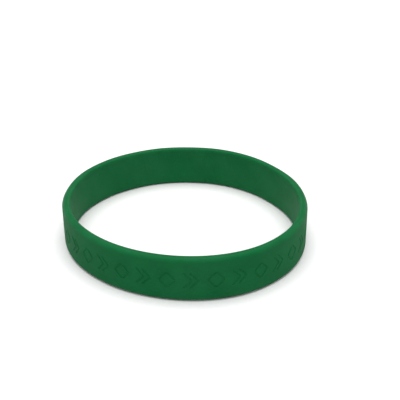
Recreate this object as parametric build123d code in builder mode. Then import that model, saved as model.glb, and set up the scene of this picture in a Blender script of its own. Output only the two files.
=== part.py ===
from build123d import *
import math
import os

# A wristband moulded in one piece from solid silicone rubber, in millimetres. It lies on
# its edge, as it does by itself on a table, with the wrist opening upright. Relaxed, it
# isn't quite round. A row of shallow marks is moulded into the outer wall all the way
# round: the outline of a lozenge, then a pair of chevrons.
# The origin is at the middle of the footprint, on the surface that the band lies on.

# The band
wrist_length = 202.0  # once round the inner wall, the usual adult size
band_width = 12.0  # from edge to edge, which is upright here
wall = 2.2
outer_edge_radius = 1.2
rim_flat = 0.2  # the strip that the band lies on, between its two rounded edges
inner_edge_radius = wall - outer_edge_radius - rim_flat

# The relaxed shape is a closed chain of tangent arcs that all turn by the same angle.
# Their radii swing about the mean: each row gives how many times on the way round, by
# what share of the mean, and the direction in which the wall is flattest.
arc_count = 24
relaxed_swings = [
    {"times": 2, "share": 0.100, "flattest_deg": 27.0},
    {"times": 3, "share": 0.066, "flattest_deg": 6.0},
]

# The marks, all cut to one depth with a stroke of one width
mark_depth = 0.15
stroke = 0.50
mark_pitch = 6.0  # the nearest to this that fills the wall evenly
lozenge_width = 4.9  # this and the height are taken before its corners are rounded
lozenge_height = 5.1
lozenge_corner_radius = 0.35  # of the island inside the stroke
chevron_width = 1.9  # of the stroke's centreline
chevron_height = 4.4
chevron_spacing = 1.6
chevron_corner_radius = 0.5

turn_deg = 360 / arc_count
mean_radius = wrist_length / (2 * math.pi)


def arc_radius(index):
    """Radius of one arc of the inner wall, counted from the side that faces +X."""
    facing_deg = (index + 0.5) * turn_deg
    swing = sum(
        row["share"] * math.cos(math.radians(row["times"] * (facing_deg - row["flattest_deg"])))
        for row in relaxed_swings
    )
    return mean_radius * (1 + swing)


def wall_loop(outward):
    """Draws the closed line that lies this far outside the inner wall."""
    arc = JernArc((outward, 0), (0, 1), arc_radius(0) + outward, turn_deg)
    for index in range(1, arc_count):
        arc = JernArc(arc @ 1, arc % 1, arc_radius(index) + outward, turn_deg)


# The loops start at the wall's +X side, so this plane puts their middle on the origin.
with BuildLine() as inner_line:
    wall_loop(0)
loop_middle = inner_line.line.bounding_box().center()
floor_plane = Plane(origin=(-loop_middle.X, -loop_middle.Y, 0))

# The marks sit at even steps along a line at mid height on the outer wall.
with BuildLine(floor_plane.offset(band_width / 2)) as mark_line:
    wall_loop(wall)
outer_wall_line = mark_line.wire()
pair_count = round(outer_wall_line.length / (2 * mark_pitch))


def mark_plane(place):
    """Plane on the outer wall, with X along the wall and Y up, seen from outside."""
    share = place / (2 * pair_count)
    along = outer_wall_line % share
    return Plane(origin=outer_wall_line @ share, x_dir=along, z_dir=along.cross(Vector(0, 0, 1)))


# The marks are prisms that stand a wall's thickness out of the wall and as far into it,
# cut off at the depth of the marks.
with BuildPart() as marks:
    with BuildSketch(*[mark_plane(2 * pair + 0.5) for pair in range(pair_count)]):
        with BuildLine():
            Polyline(
                (lozenge_width / 2, 0),
                (0, lozenge_height / 2),
                (-lozenge_width / 2, 0),
                (0, -lozenge_height / 2),
                close=True,
            )
        lozenge = make_face()
        fillet(lozenge.vertices(), lozenge_corner_radius + stroke)
        offset(amount=-stroke, mode=Mode.SUBTRACT)
    extrude(amount=wall, both=True)

    with BuildSketch(*[mark_plane(2 * pair + 1.5) for pair in range(pair_count)]):
        for side in (-1, 1):
            tail = side * chevron_spacing / 2 - chevron_width / 2
            tip = tail + chevron_width
            arm = (chevron_height - stroke) / 2
            with BuildLine():
                chevron = FilletPolyline(
                    (tail, arm), (tip, 0), (tail, -arm), radius=chevron_corner_radius
                )
                offset(chevron, amount=stroke / 2)
            make_face()
    extrude(amount=wall, both=True)

    with BuildSketch(floor_plane):
        with BuildLine():
            wall_loop(wall - mark_depth)
        make_face()
    extrude(amount=band_width, mode=Mode.SUBTRACT)

with BuildPart() as band:
    with BuildSketch(floor_plane):
        with BuildLine():
            wall_loop(wall)
        make_face()
        with BuildLine():
            wall_loop(0)
        make_face(mode=Mode.SUBTRACT)
    extrude(amount=band_width)
    for end in (0, -1):
        rim = band.faces().sort_by(Axis.Z)[end]
        fillet(rim.outer_wire().edges(), outer_edge_radius)
        rim = band.faces().sort_by(Axis.Z)[end]
        fillet(rim.inner_wires()[0].edges(), inner_edge_radius)
    add(marks.part, mode=Mode.SUBTRACT)

band.part.label = "band"
os.makedirs("parts", exist_ok=True)
export_step(band.part, "parts/band.step")
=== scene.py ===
import math

import bpy
import numpy as np
from mathutils import Matrix, Vector
from mathutils.geometry import delaunay_2d_cdt


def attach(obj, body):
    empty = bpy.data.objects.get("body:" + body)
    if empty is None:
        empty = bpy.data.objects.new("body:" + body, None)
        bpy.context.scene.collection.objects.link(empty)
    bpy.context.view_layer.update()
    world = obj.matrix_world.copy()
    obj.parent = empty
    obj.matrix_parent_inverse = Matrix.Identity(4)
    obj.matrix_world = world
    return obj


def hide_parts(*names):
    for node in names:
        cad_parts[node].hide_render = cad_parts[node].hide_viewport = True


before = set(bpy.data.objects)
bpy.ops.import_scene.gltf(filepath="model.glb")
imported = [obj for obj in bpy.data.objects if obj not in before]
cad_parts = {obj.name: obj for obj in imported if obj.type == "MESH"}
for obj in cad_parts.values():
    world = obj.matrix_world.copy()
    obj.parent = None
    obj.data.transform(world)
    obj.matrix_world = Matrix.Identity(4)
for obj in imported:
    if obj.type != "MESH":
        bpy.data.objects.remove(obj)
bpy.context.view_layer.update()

# The band, which is all one piece
# It is solid silicone rubber, coloured green right through. It is pressed and cured hot
# between a turned core, which gives the inner wall, and an outer mould whose raised
# pattern leaves the sunken marks. Nothing is fixed to it: it stretches over the hand.

MM = 0.001
wrist_length = 202.0 * MM  # once round the inner wall
band_width = 12.0 * MM  # upright here
wall = 2.2 * MM

# Relaxed, the loop isn't quite round. It is a chain of arcs that turn by equal angles,
# and each row makes their radii swing about the mean as they go round.
arc_count = 24
relaxed_swings = [
    {"times": 2, "share": 0.100, "flattest_deg": 27.0},
    {"times": 3, "share": 0.066, "flattest_deg": 6.0},
]
arc_turn = 2 * math.pi / arc_count
arc_start = np.arange(arc_count) * arc_turn
mean_radius = wrist_length / (2 * math.pi)
arc_radius = np.full(arc_count, mean_radius)
for row in relaxed_swings:
    from_flattest = arc_start + arc_turn / 2 - math.radians(row["flattest_deg"])
    arc_radius += mean_radius * row["share"] * np.cos(row["times"] * from_flattest)
arc_start_way = np.stack([np.cos(arc_start), np.sin(arc_start)], axis=1)
arc_centre = -np.cumsum(np.diff(arc_radius, prepend=0)[:, None] * arc_start_way, axis=0)
arc_ends_along = np.concatenate([[0], np.cumsum((arc_radius + wall) * arc_turn)])
outer_length = arc_ends_along[-1]


def wrap(along, outward):
    """Turns distances along and out of the wall into plan places, and gives the ways out."""
    facing = np.interp(along, arc_ends_along, np.arange(arc_count + 1) * arc_turn)
    arc = np.minimum((facing / arc_turn).astype(int), arc_count - 1)
    way_out = np.stack([np.cos(facing), np.sin(facing)], axis=1)
    return arc_centre[arc] + (arc_radius[arc] + outward)[:, None] * way_out, way_out


# Soft rubber never cures quite true: the loop waves a little, sideways and up and down.
waves = [
    {"times": 5, "sideways": 0.050 * MM, "lift": 0.030 * MM, "phase_deg": 20},
    {"times": 8, "sideways": 0.035 * MM, "lift": 0.020 * MM, "phase_deg": 205},
    {"times": 13, "sideways": 0.018 * MM, "lift": 0.012 * MM, "phase_deg": 80},
]


def wave(along, kind):
    """How far the loop strays at places along it, and how steeply that changes."""
    stray = np.zeros(len(along))
    slope = np.zeros(len(along))
    for row in waves:
        pace = 2 * math.pi * row["times"] / outer_length
        turn = pace * along + math.radians(row["phase_deg"])
        stray += row[kind] * np.cos(turn)
        slope -= row[kind] * pace * np.sin(turn)
    return stray, slope


# The whole loop is raised by this, so that even its lowest dips stay above the table.
most_lift = sum(row["lift"] for row in waves)

# One repeat of the band is made flat, as along, out and up, and then wrapped round. Each
# of its points also keeps its normal, how much it lies on a rounded edge, from 0 to 1,
# and how deep it is sunk, as a share of the marks' depth.
mark_pitch = 6.0 * MM
repeat_count = round(outer_length / (2 * mark_pitch))
repeat_length = outer_length / repeat_count
flat = {"place": [], "normal": [], "edge": [], "sunk": []}
faces = []


def lay(place, normal, edge, sunk):
    """Adds points to the flat repeat and gives their numbers."""
    first = len(flat["edge"])
    flat["place"].extend(np.asarray(place).tolist())
    flat["normal"].extend(np.asarray(normal).tolist())
    flat["edge"].extend(np.broadcast_to(edge, len(place)).tolist())
    flat["sunk"].extend(np.broadcast_to(sunk, len(place)).tolist())
    return np.arange(first, len(flat["edge"]))


def strip(upper, lower, closed):
    """Adds faces between two rows of points that run alike, with the upper on the right."""
    count = len(upper) if closed else len(upper) - 1
    for here in range(count):
        there = (here + 1) % len(upper)
        faces.append([upper[here], upper[there], lower[there], lower[here]])


# The rims and the inner wall: the section runs from the top of the marked strip, over the
# top rim, down the inner wall and round to the bottom of the strip.
outer_edge_radius = 1.2 * MM
rim_flat = 0.2 * MM  # the strip that the band lies on, between its two rounded edges
inner_edge_radius = wall - outer_edge_radius - rim_flat
strip_height = 6.4 * MM  # the stretch of the outer wall that the marks lie in
flash_height = 0.05 * MM  # what is left of the trimmed flash, just inside each rim
flash_width = 0.18 * MM
column_count = 24
edge_steps = 9
flash_steps = 8
outer_wall_steps = 3  # between the marked strip and a rounded edge
rim_steps = 2
inner_wall_steps = 14
strip_high = (band_width + strip_height) / 2
strip_low = (band_width - strip_height) / 2
section = []


def run(start, end, steps, facing_deg):
    """Adds a straight stretch between two (out, up) points to the section, without its end."""
    for share in np.arange(steps) / steps:
        out, up = np.array(start) + share * (np.array(end) - np.array(start))
        section.append({"out": out, "up": up, "facing_deg": facing_deg, "edge": 0.0})


def bend(out, up, radius, start_deg):
    """Adds a quarter round about this centre to the section, without its end."""
    for share in np.arange(edge_steps) / edge_steps:
        facing_deg = start_deg + 90 * share
        facing = math.radians(facing_deg)
        section.append({
            "out": out + radius * math.cos(facing),
            "up": up + radius * math.sin(facing),
            "facing_deg": facing_deg,
            "edge": math.sin(math.pi * share),
        })


def ridge(up):
    """Adds a thin ridge of flash on the inner wall, with its middle at this height."""
    for share in np.arange(flash_steps) / flash_steps:
        turn = 2 * math.pi * share
        rise = flash_height / 2 * (1 - math.cos(turn))
        slope = flash_height * math.pi / flash_width * math.sin(turn)
        section.append({
            "out": -rise,
            "up": up + flash_width * (0.5 - share),
            "facing_deg": 180 - math.degrees(math.atan(slope)),
            "edge": rise / flash_height,
        })


top = band_width
inner_high = top - inner_edge_radius - flash_width
inner_low = inner_edge_radius + flash_width
run((wall, strip_high), (wall, top - outer_edge_radius), outer_wall_steps, 0)
bend(wall - outer_edge_radius, top - outer_edge_radius, outer_edge_radius, 0)
run((wall - outer_edge_radius, top), (inner_edge_radius, top), rim_steps, 90)
bend(inner_edge_radius, top - inner_edge_radius, inner_edge_radius, 90)
ridge(inner_high + flash_width / 2)
run((0, inner_high), (0, inner_low), inner_wall_steps, 180)
ridge(inner_low - flash_width / 2)
bend(inner_edge_radius, inner_edge_radius, inner_edge_radius, 180)
run((inner_edge_radius, 0), (wall - outer_edge_radius, 0), rim_steps, 270)
bend(wall - outer_edge_radius, outer_edge_radius, outer_edge_radius, 270)
run((wall, outer_edge_radius), (wall, strip_low), outer_wall_steps, 0)
section.append({"out": wall, "up": strip_low, "facing_deg": 0, "edge": 0.0})

across = np.linspace(0, repeat_length, column_count + 1)
section_rows = []
for row in section:
    facing = math.radians(row["facing_deg"])
    place = [(along, row["out"], row["up"]) for along in across]
    normal = [(0, math.cos(facing), math.sin(facing))] * len(across)
    section_rows.append(lay(place, normal, row["edge"], 0))
for upper, lower in zip(section_rows, section_rows[1:]):
    strip(upper, lower, closed=False)
left_side = [row[0] for row in section_rows]
right_side = [row[-1] for row in section_rows]

# The marks: strokes of one width and depth. A stroke's edge has a soft lip, a side with
# the draft that lets the rubber out of the mould, and a rounded root.
mark_depth = 0.15 * MM
stroke = 0.50 * MM
lip_radius = 0.09 * MM
root_radius = 0.06 * MM
draft_deg = 6.0
lip_steps = 5
root_steps = 4
steepest = math.radians(90 - draft_deg)
side_drop = mark_depth - (lip_radius + root_radius) * (1 - math.cos(steepest))
side_run = side_drop / math.tan(steepest)
lip_away = side_run / 2 + lip_radius * math.sin(steepest)
root_away = -side_run / 2 - root_radius * math.sin(steepest)
stroke_edge = []
for tilt in np.linspace(0, steepest, lip_steps + 1):
    stroke_edge.append({
        "away": lip_away - lip_radius * math.sin(tilt),
        "drop": lip_radius * (1 - math.cos(tilt)),
        "tilt": tilt,
        "edge": math.sin(math.pi * tilt / steepest),
    })
for tilt in np.linspace(steepest, 0, root_steps + 1):
    stroke_edge.append({
        "away": root_away + root_radius * math.sin(tilt),
        "drop": mark_depth - root_radius * (1 - math.cos(tilt)),
        "tilt": tilt,
        "edge": 0.0,
    })


def rounded(before, corner, after, radius, steps):
    """The arc that rounds a corner of a stroke's centreline, and the ways to its right."""
    heading = (corner - before) / np.linalg.norm(corner - before)
    leaving = (after - corner) / np.linalg.norm(after - corner)
    turn = math.atan2(heading[0] * leaving[1] - heading[1] * leaving[0], heading @ leaving)
    start = corner - heading * radius * math.tan(abs(turn) / 2)
    right = np.array([heading[1], -heading[0]])
    inward = math.copysign(radius, turn)
    angle = np.linspace(0, turn, steps + 1)
    ways = np.stack([
        right[0] * np.cos(angle) - right[1] * np.sin(angle),
        right[0] * np.sin(angle) + right[1] * np.cos(angle),
    ], axis=1)
    return start - inward * right + inward * ways, ways


def between(start, end, steps):
    """Evenly spaced points between two others, without them."""
    share = np.arange(1, steps)[:, None] / steps
    return start + share * (end - start)


# A lozenge is a closed stroke: its outer edge, and the edge of the island inside.
lozenge_width = 4.9 * MM  # this and the height are taken before its corners are rounded
lozenge_height = 5.1 * MM
island_corner_radius = 0.35 * MM
corner_steps = 8
side_steps = 7
slant = math.hypot(lozenge_width, lozenge_height)
half_wide = lozenge_width / 2 - stroke / 2 * slant / lozenge_height
half_tall = lozenge_height / 2 - stroke / 2 * slant / lozenge_width
lozenge_along = repeat_length / 4  # the middle of the repeat's first half
corners = np.array([lozenge_along, band_width / 2]) + np.array([
    (half_wide, 0), (0, half_tall), (-half_wide, 0), (0, -half_tall),
])
arcs = [
    rounded(corners[at - 1], corners[at], corners[(at + 1) % len(corners)],
            island_corner_radius + stroke / 2, corner_steps)
    for at in range(len(corners))
]
line = []
ways = []
for at, (arc, arc_ways) in enumerate(arcs):
    next_arc = arcs[(at + 1) % len(arcs)][0]
    side = between(arc[-1], next_arc[0], side_steps)
    line.extend([*arc, *side])
    ways.extend([*arc_ways, *[arc_ways[-1]] * len(side)])
line = np.array(line)
ways = np.array(ways)
outlines = [(line, ways), (line[::-1], -ways[::-1])]

# A chevron is an open stroke with round ends, drawn round it in one go.
chevron_width = 1.9 * MM
chevron_height = 4.4 * MM
chevron_spacing = 1.6 * MM
chevron_corner_radius = 0.5 * MM
end_steps = 8
arm = (chevron_height - stroke) / 2
chevrons_along = repeat_length * 3 / 4  # the middle of the repeat's second half
for side in (-1, 1):
    tail = chevrons_along + side * chevron_spacing / 2 - chevron_width / 2
    tip = tail + chevron_width
    upper, middle, lower = np.array([(tail, arm), (tip, 0), (tail, -arm)]) + (0, band_width / 2)
    arc, arc_ways = rounded(upper, middle, lower, chevron_corner_radius, corner_steps)
    first_arm = np.vstack([upper, between(upper, arc[0], side_steps)])
    last_arm = np.vstack([between(arc[-1], lower, side_steps), lower])
    line = np.vstack([first_arm, arc, last_arm])
    ways = np.vstack([
        np.tile(arc_ways[0], (len(first_arm), 1)),
        arc_ways,
        np.tile(arc_ways[-1], (len(last_arm), 1)),
    ])
    end_angle = math.pi * np.arange(1, end_steps)[:, None] / end_steps
    end_ways = []
    for way in (ways[-1], -ways[0]):
        ahead = np.array([-way[1], way[0]])
        end_ways.append(way * np.cos(end_angle) + ahead * np.sin(end_angle))
    last_end = np.tile(line[-1], (len(end_angle), 1))
    first_end = np.tile(line[0], (len(end_angle), 1))
    outlines.append((
        np.vstack([line, last_end, line[::-1], first_end]),
        np.vstack([ways, end_ways[0], -ways[::-1], end_ways[1]]),
    ))

lips = []
roots = []
for line, ways in outlines:
    rows = []
    for row in stroke_edge:
        spot = line + ways * (stroke / 2 + row["away"])
        out = np.full(len(spot), wall - row["drop"])
        lean = -math.sin(row["tilt"]) * ways
        straight = np.full(len(spot), math.cos(row["tilt"]))
        place = np.column_stack([spot[:, 0], out, spot[:, 1]])
        normal = np.column_stack([lean[:, 0], straight, lean[:, 1]])
        rows.append(lay(place, normal, row["edge"], row["drop"] / mark_depth))
    for upper, lower in zip(rows, rows[1:]):
        strip(upper, lower, closed=True)
    lips.append(rows[0])
    roots.append(rows[-1])


# The filling of flat outlines keeps every triangle, and takes points as near as this as one.
every_triangle = 0
same_place = 1e-6  # in millimetres


def spots(numbers):
    """The (along, up) places of flat points, in millimetres."""
    return np.array([flat["place"][number] for number in numbers])[:, [0, 2]] / MM


def skin(numbers, loops):
    """Fills the space that lies inside an odd number of the loops with triangles."""
    own = {number: at for at, number in enumerate(numbers)}
    rings = []
    for loop in loops:
        x, y = spots(loop).T
        turns_left = np.sum(x * np.roll(y, -1) - np.roll(x, -1) * y) > 0
        rings.append([own[number] for number in (loop if turns_left else loop[::-1])])
    places = [Vector(spot) for spot in spots(numbers)]
    filled = delaunay_2d_cdt(places, [], rings, every_triangle, same_place)
    _, _, triangles, sources, _, loops_around = filled
    for triangle, around in zip(triangles, loops_around):
        if len(around) % 2:
            faces.append([numbers[sources[at][0]] for at in triangle])


# The wall between the marks, with an even grid of points where there is room for them
strip_rows = 13
lip_clearance = 0.40 * MM  # over half a stroke and its lip, so no point lands in one
heights = np.linspace(strip_low, strip_high, strip_rows + 1)[1:-1]
grid = np.array([(along, up) for along in across[1:-1] for up in heights])
lip_spots = spots(np.concatenate(lips)) * MM
clear = np.linalg.norm(grid[:, None] - lip_spots[None], axis=2).min(axis=1) > lip_clearance


def lay_on_wall(points):
    """Adds points of the plain outer wall."""
    place = [(along, wall, up) for along, up in points]
    return lay(place, [(0, 1, 0)] * len(place), 0, 0)


left_border = lay_on_wall([(0, up) for up in heights])
right_border = lay_on_wall([(repeat_length, up) for up in heights])
left_side.extend(left_border)
right_side.extend(right_border)
inner_points = lay_on_wall(grid[clear])
frame_loop = np.concatenate([
    section_rows[-1], right_border, section_rows[0][::-1], left_border[::-1],
])
skin(np.concatenate([frame_loop, inner_points, *lips]), [frame_loop, *lips])
skin(np.concatenate(roots), roots)

# The repeats are wrapped round the loop, and each one's right side is the next one's left.
place = np.array(flat["place"])
normal = np.array(flat["normal"])
own_points = np.setdiff1d(np.arange(len(place)), right_side)
rank = np.zeros(len(place), int)
rank[own_points] = np.arange(len(own_points))
band_places = []
band_normals = []
band_faces = []
for repeat in range(repeat_count):
    number = rank + repeat * len(own_points)
    number[right_side] = rank[left_side] + (repeat + 1) % repeat_count * len(own_points)
    band_faces.extend([[int(number[corner]) for corner in face] for face in faces])
    along, outward, up = place[own_points].T
    along = along + repeat * repeat_length
    sideways, sideways_slope = wave(along, "sideways")
    lift, lift_slope = wave(along, "lift")
    lift = lift + most_lift
    plan, way_out = wrap(along, outward + sideways)
    way_along = np.stack([-way_out[:, 1], way_out[:, 0]], axis=1)
    normal_along, normal_out, normal_up = normal[own_points].T
    normal_along = normal_along - sideways_slope * normal_out - lift_slope * normal_up
    normal_plan = normal_out[:, None] * way_out + normal_along[:, None] * way_along
    band_places.append(np.column_stack([plan, up + lift]))
    band_normals.append(np.column_stack([normal_plan, normal_up]))
band_places = np.vstack(band_places)
band_normals = np.vstack(band_normals)
band_normals /= np.linalg.norm(band_normals, axis=1)[:, None]

# The middle of the inner wall's outline goes on the origin.
outline_points = 2000
inner_plan = wrap(np.linspace(0, outer_length, outline_points), 0)[0]
band_places[:, :2] -= (inner_plan.min(axis=0) + inner_plan.max(axis=0)) / 2

# The mesh keeps the normals worked out above, and the values that the finish needs.
band_mesh = bpy.data.meshes.new("moulded_band")
band_mesh.from_pydata(band_places.tolist(), [], band_faces)
kept_values = {
    "rounded_edge": np.array(flat["edge"]),
    "sunken": np.array(flat["sunk"]),
    "faces_in": np.clip(-normal[:, 1], 0, 1),
}
for name, values in kept_values.items():
    layer = band_mesh.attributes.new(name, "FLOAT", "POINT")
    layer.data.foreach_set("value", np.tile(values[own_points], repeat_count))
band_mesh.shade_smooth()
band_mesh.normals_split_custom_set_from_vertices(band_normals.tolist())
band = bpy.data.objects.new("moulded_band", band_mesh)
bpy.context.scene.collection.objects.link(band)

# Green silicone with a satin skin. Patterns give the rubber its small unevenness: each
# is laid out in the band's own space, so it stays put on the wall.
silicone = bpy.data.materials.new("green_silicone")
silicone.use_nodes = True
silicone_nodes = silicone.node_tree.nodes
silicone_links = silicone.node_tree.links
skin_shader = silicone_nodes["Principled BSDF"]
own_place = silicone_nodes.new("ShaderNodeTexCoord").outputs["Object"]
noise_low = 0.3  # raw noise seldom leaves this range
noise_high = 0.7


def mottle(blotch, detail, drawn_out=(1, 1, 1)):
    """A soft pattern from 0 to 1, with blotches of this size, drawn out along the axes."""
    mapping = silicone_nodes.new("ShaderNodeMapping")
    mapping.inputs["Scale"].default_value = [1 / (blotch * share) for share in drawn_out]
    noise = silicone_nodes.new("ShaderNodeTexNoise")
    noise.inputs["Scale"].default_value = 1
    noise.inputs["Detail"].default_value = detail
    contrast = silicone_nodes.new("ShaderNodeMapRange")
    contrast.interpolation_type = "SMOOTHSTEP"
    contrast.inputs["From Min"].default_value = noise_low
    contrast.inputs["From Max"].default_value = noise_high
    silicone_links.new(own_place, mapping.inputs["Vector"])
    silicone_links.new(mapping.outputs["Vector"], noise.inputs["Vector"])
    silicone_links.new(noise.outputs["Fac"], contrast.inputs["Value"])
    return contrast.outputs["Result"]


def kept(name):
    """A value that the mesh keeps at its points."""
    attribute = silicone_nodes.new("ShaderNodeAttribute")
    attribute.attribute_name = name
    return attribute.outputs["Fac"]


def total(start, *shares):
    """A start value, plus each pattern times its weight."""
    result = None
    for pattern, weight in shares:
        adding = silicone_nodes.new("ShaderNodeMath")
        adding.operation = "MULTIPLY_ADD"
        adding.inputs[1].default_value = weight
        silicone_links.new(pattern, adding.inputs[0])
        if result is None:
            adding.inputs[2].default_value = start
        else:
            silicone_links.new(result, adding.inputs[2])
        result = adding.outputs["Value"]
    return result


def both(first, second):
    """Where two patterns meet."""
    product = silicone_nodes.new("ShaderNodeMath")
    product.operation = "MULTIPLY"
    silicone_links.new(first, product.inputs[0])
    silicone_links.new(second, product.inputs[1])
    return product.outputs["Value"]


pigment = mottle(5.0 * MM, 3)
bloom = mottle(11.0 * MM, 4)  # the dull film that comes out of silicone as it ages
handled = mottle(3.5 * MM, 2)
grain = mottle(0.30 * MM, 5)
pores = mottle(0.11 * MM, 2)
turning = mottle(0.16 * MM, 2, drawn_out=(90, 90, 1))  # fine lines from the turned mould

# Skin and sleeves rub the rounded edges, so they are smoother than the walls. In places
# they are worn smoother still, and fine scuffs run along them.
edge = kept("rounded_edge")
worn = both(edge, handled)
scuffed = both(edge, mottle(0.10 * MM, 3, drawn_out=(14, 14, 1)))

# The inner wall and the marks are painted a little paler. This is painted light, lifting the
# shade that falls inside the loop and in the sunken strokes. The core that shapes the inner
# wall is polished, and the tool that shapes the marks isn't.
inner_side = kept("faces_in")
sunken = kept("sunken")

# Dust clings to silicone: a few pale specks that lie at random on the skin.
dust_spacing = 1.3 * MM
dust_size = 0.07 * MM  # the radius at which a speck has faded out
dust_core = 0.4  # the share of a speck's radius that is dust right through
dust_cells = silicone_nodes.new("ShaderNodeTexVoronoi")
dust_cells.inputs["Scale"].default_value = 1 / dust_spacing
silicone_links.new(own_place, dust_cells.inputs["Vector"])
dust_range = silicone_nodes.new("ShaderNodeMapRange")
dust_range.inputs["From Min"].default_value = dust_size / dust_spacing
dust_range.inputs["From Max"].default_value = dust_size / dust_spacing * dust_core
silicone_links.new(dust_cells.outputs["Distance"], dust_range.inputs["Value"])
dust = dust_range.outputs["Result"]

# The green's lightness, its depth of colour and the gloss: each is a plain value, to which
# every pattern adds its share.
shade = silicone_nodes.new("ShaderNodeHueSaturation")
shade.inputs["Color"].default_value = (0.002, 0.100, 0.028, 1)
# Painted light: the shares for the inner side and the sunken marks lighten the shade that falls
# there.
silicone_links.new(
    total(
        0.87, (pigment, 0.09), (bloom, 0.09), (grain, 0.07), (turning, 0.03),
        (inner_side, 0.16), (worn, 0.08), (scuffed, 0.05), (sunken, 0.04), (dust, 0.7),
    ),
    shade.inputs["Value"],
)
silicone_links.new(
    total(1.0, (bloom, -0.04), (worn, 0.01), (dust, -0.35)), shade.inputs["Saturation"],
)
silicone_links.new(shade.outputs["Color"], skin_shader.inputs["Base Color"])
silicone_links.new(
    total(
        0.60, (bloom, 0.12), (grain, 0.08), (turning, 0.05), (inner_side, -0.18),
        (edge, -0.23), (worn, -0.08), (scuffed, 0.08), (sunken, 0.08), (dust, 0.3),
    ),
    skin_shader.inputs["Roughness"],
)
skin_shader.inputs["Specular IOR Level"].default_value = 0.07
skin_shader.inputs["Subsurface Weight"].default_value = 0.10
skin_shader.inputs["Subsurface Radius"].default_value = (0.3, 1.0, 0.5)
skin_shader.inputs["Subsurface Scale"].default_value = 0.6 * MM
skin_shader.inputs["Sheen Weight"].default_value = 0.01
skin_shader.inputs["Sheen Roughness"].default_value = 0.5

# The skin's own relief, which is too shallow for the mesh
relief = None
for pattern, depth in (
    (bloom, 0.040 * MM),
    (grain, 0.022 * MM),
    (turning, 0.008 * MM),
    (pores, 0.006 * MM),
    (dust, 0.020 * MM),
):
    bump = silicone_nodes.new("ShaderNodeBump")
    bump.inputs["Distance"].default_value = depth
    silicone_links.new(pattern, bump.inputs["Height"])
    if relief is not None:
        silicone_links.new(relief, bump.inputs["Normal"])
    relief = bump.outputs["Normal"]
silicone_links.new(relief, skin_shader.inputs["Normal"])
band_mesh.materials.append(silicone)

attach(band, "root")
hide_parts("band")

# The table
# A flat board, painted white, that the band lies on. It reaches far past the picture on
# every side, and its paint keeps the fine stipple of the roller.

half_table = 8.0
table_mesh = bpy.data.meshes.new("table_top")
table_mesh.from_pydata(
    [(x * half_table, y * half_table, 0) for x, y in ((-1, -1), (1, -1), (1, 1), (-1, 1))],
    [],
    [(0, 1, 2, 3)],
)
table_top = bpy.data.objects.new("table_top", table_mesh)
bpy.context.scene.collection.objects.link(table_top)

white_paint = bpy.data.materials.new("white_paint")
white_paint.use_nodes = True
paint_nodes = white_paint.node_tree.nodes
paint_links = white_paint.node_tree.links
paint_shader = paint_nodes["Principled BSDF"]
table_place = paint_nodes.new("ShaderNodeTexCoord").outputs["Object"]
stipple = paint_nodes.new("ShaderNodeTexNoise")
stipple.inputs["Scale"].default_value = 1 / (0.8 * MM)
stipple.inputs["Detail"].default_value = 3
paint_links.new(table_place, stipple.inputs["Vector"])
stipple_relief = paint_nodes.new("ShaderNodeBump")
stipple_relief.inputs["Distance"].default_value = 0.01 * MM
paint_links.new(stipple.outputs["Fac"], stipple_relief.inputs["Height"])
paint_links.new(stipple_relief.outputs["Normal"], paint_shader.inputs["Normal"])
paint_tone = paint_nodes.new("ShaderNodeMapRange")
paint_tone.inputs["To Min"].default_value = 0.76
paint_tone.inputs["To Max"].default_value = 0.78
paint_links.new(stipple.outputs["Fac"], paint_tone.inputs["Value"])
paint_links.new(paint_tone.outputs["Result"], paint_shader.inputs["Base Color"])
paint_gloss = paint_nodes.new("ShaderNodeMapRange")
paint_gloss.inputs["To Min"].default_value = 0.7
paint_gloss.inputs["To Max"].default_value = 0.9
paint_links.new(stipple.outputs["Fac"], paint_gloss.inputs["Value"])
paint_links.new(paint_gloss.outputs["Result"], paint_shader.inputs["Roughness"])
table_mesh.materials.append(white_paint)

# The lights
# One broad soft light straight overhead, as wide as a studio's ceiling panel, in a pale
# room. It is far enough away to light the whole table evenly.

panel_data = bpy.data.lights.new("ceiling_panel", "SUN")
panel_data.angle = math.radians(53)
panel_data.energy = 2.85
ceiling_panel = bpy.data.objects.new("ceiling_panel", panel_data)
bpy.context.scene.collection.objects.link(ceiling_panel)
world = bpy.data.worlds.new("pale_room")
world.use_nodes = True
world.node_tree.nodes["Background"].inputs["Color"].default_value = (1, 1, 1, 1)
world.node_tree.nodes["Background"].inputs["Strength"].default_value = 0.7
bpy.context.scene.world = world
bpy.context.scene.view_settings.view_transform = "Standard"

# The camera
# A still camera with a long lens, a little over 20 cm from the band. It looks down on it
# from the front, and leans a fraction of a degree to one side.

camera_data = bpy.data.cameras.new("camera")
camera_data.sensor_width = 36
camera_data.lens = 70.2
camera = bpy.data.objects.new("camera", camera_data)
looks_at = Vector((4.4, 0, 10.3)) * MM
distance = 217 * MM
elevation = math.radians(26.6)
lean = math.radians(-0.4)
back = Vector((0, -math.cos(elevation), math.sin(elevation)))
camera.location = looks_at + distance * back
camera.rotation_mode = "QUATERNION"
camera.rotation_quaternion = (
    back.to_track_quat("Z", "Y") @ Matrix.Rotation(lean, 3, "Z").to_quaternion()
)
bpy.context.scene.collection.objects.link(camera)
bpy.context.scene.camera = camera
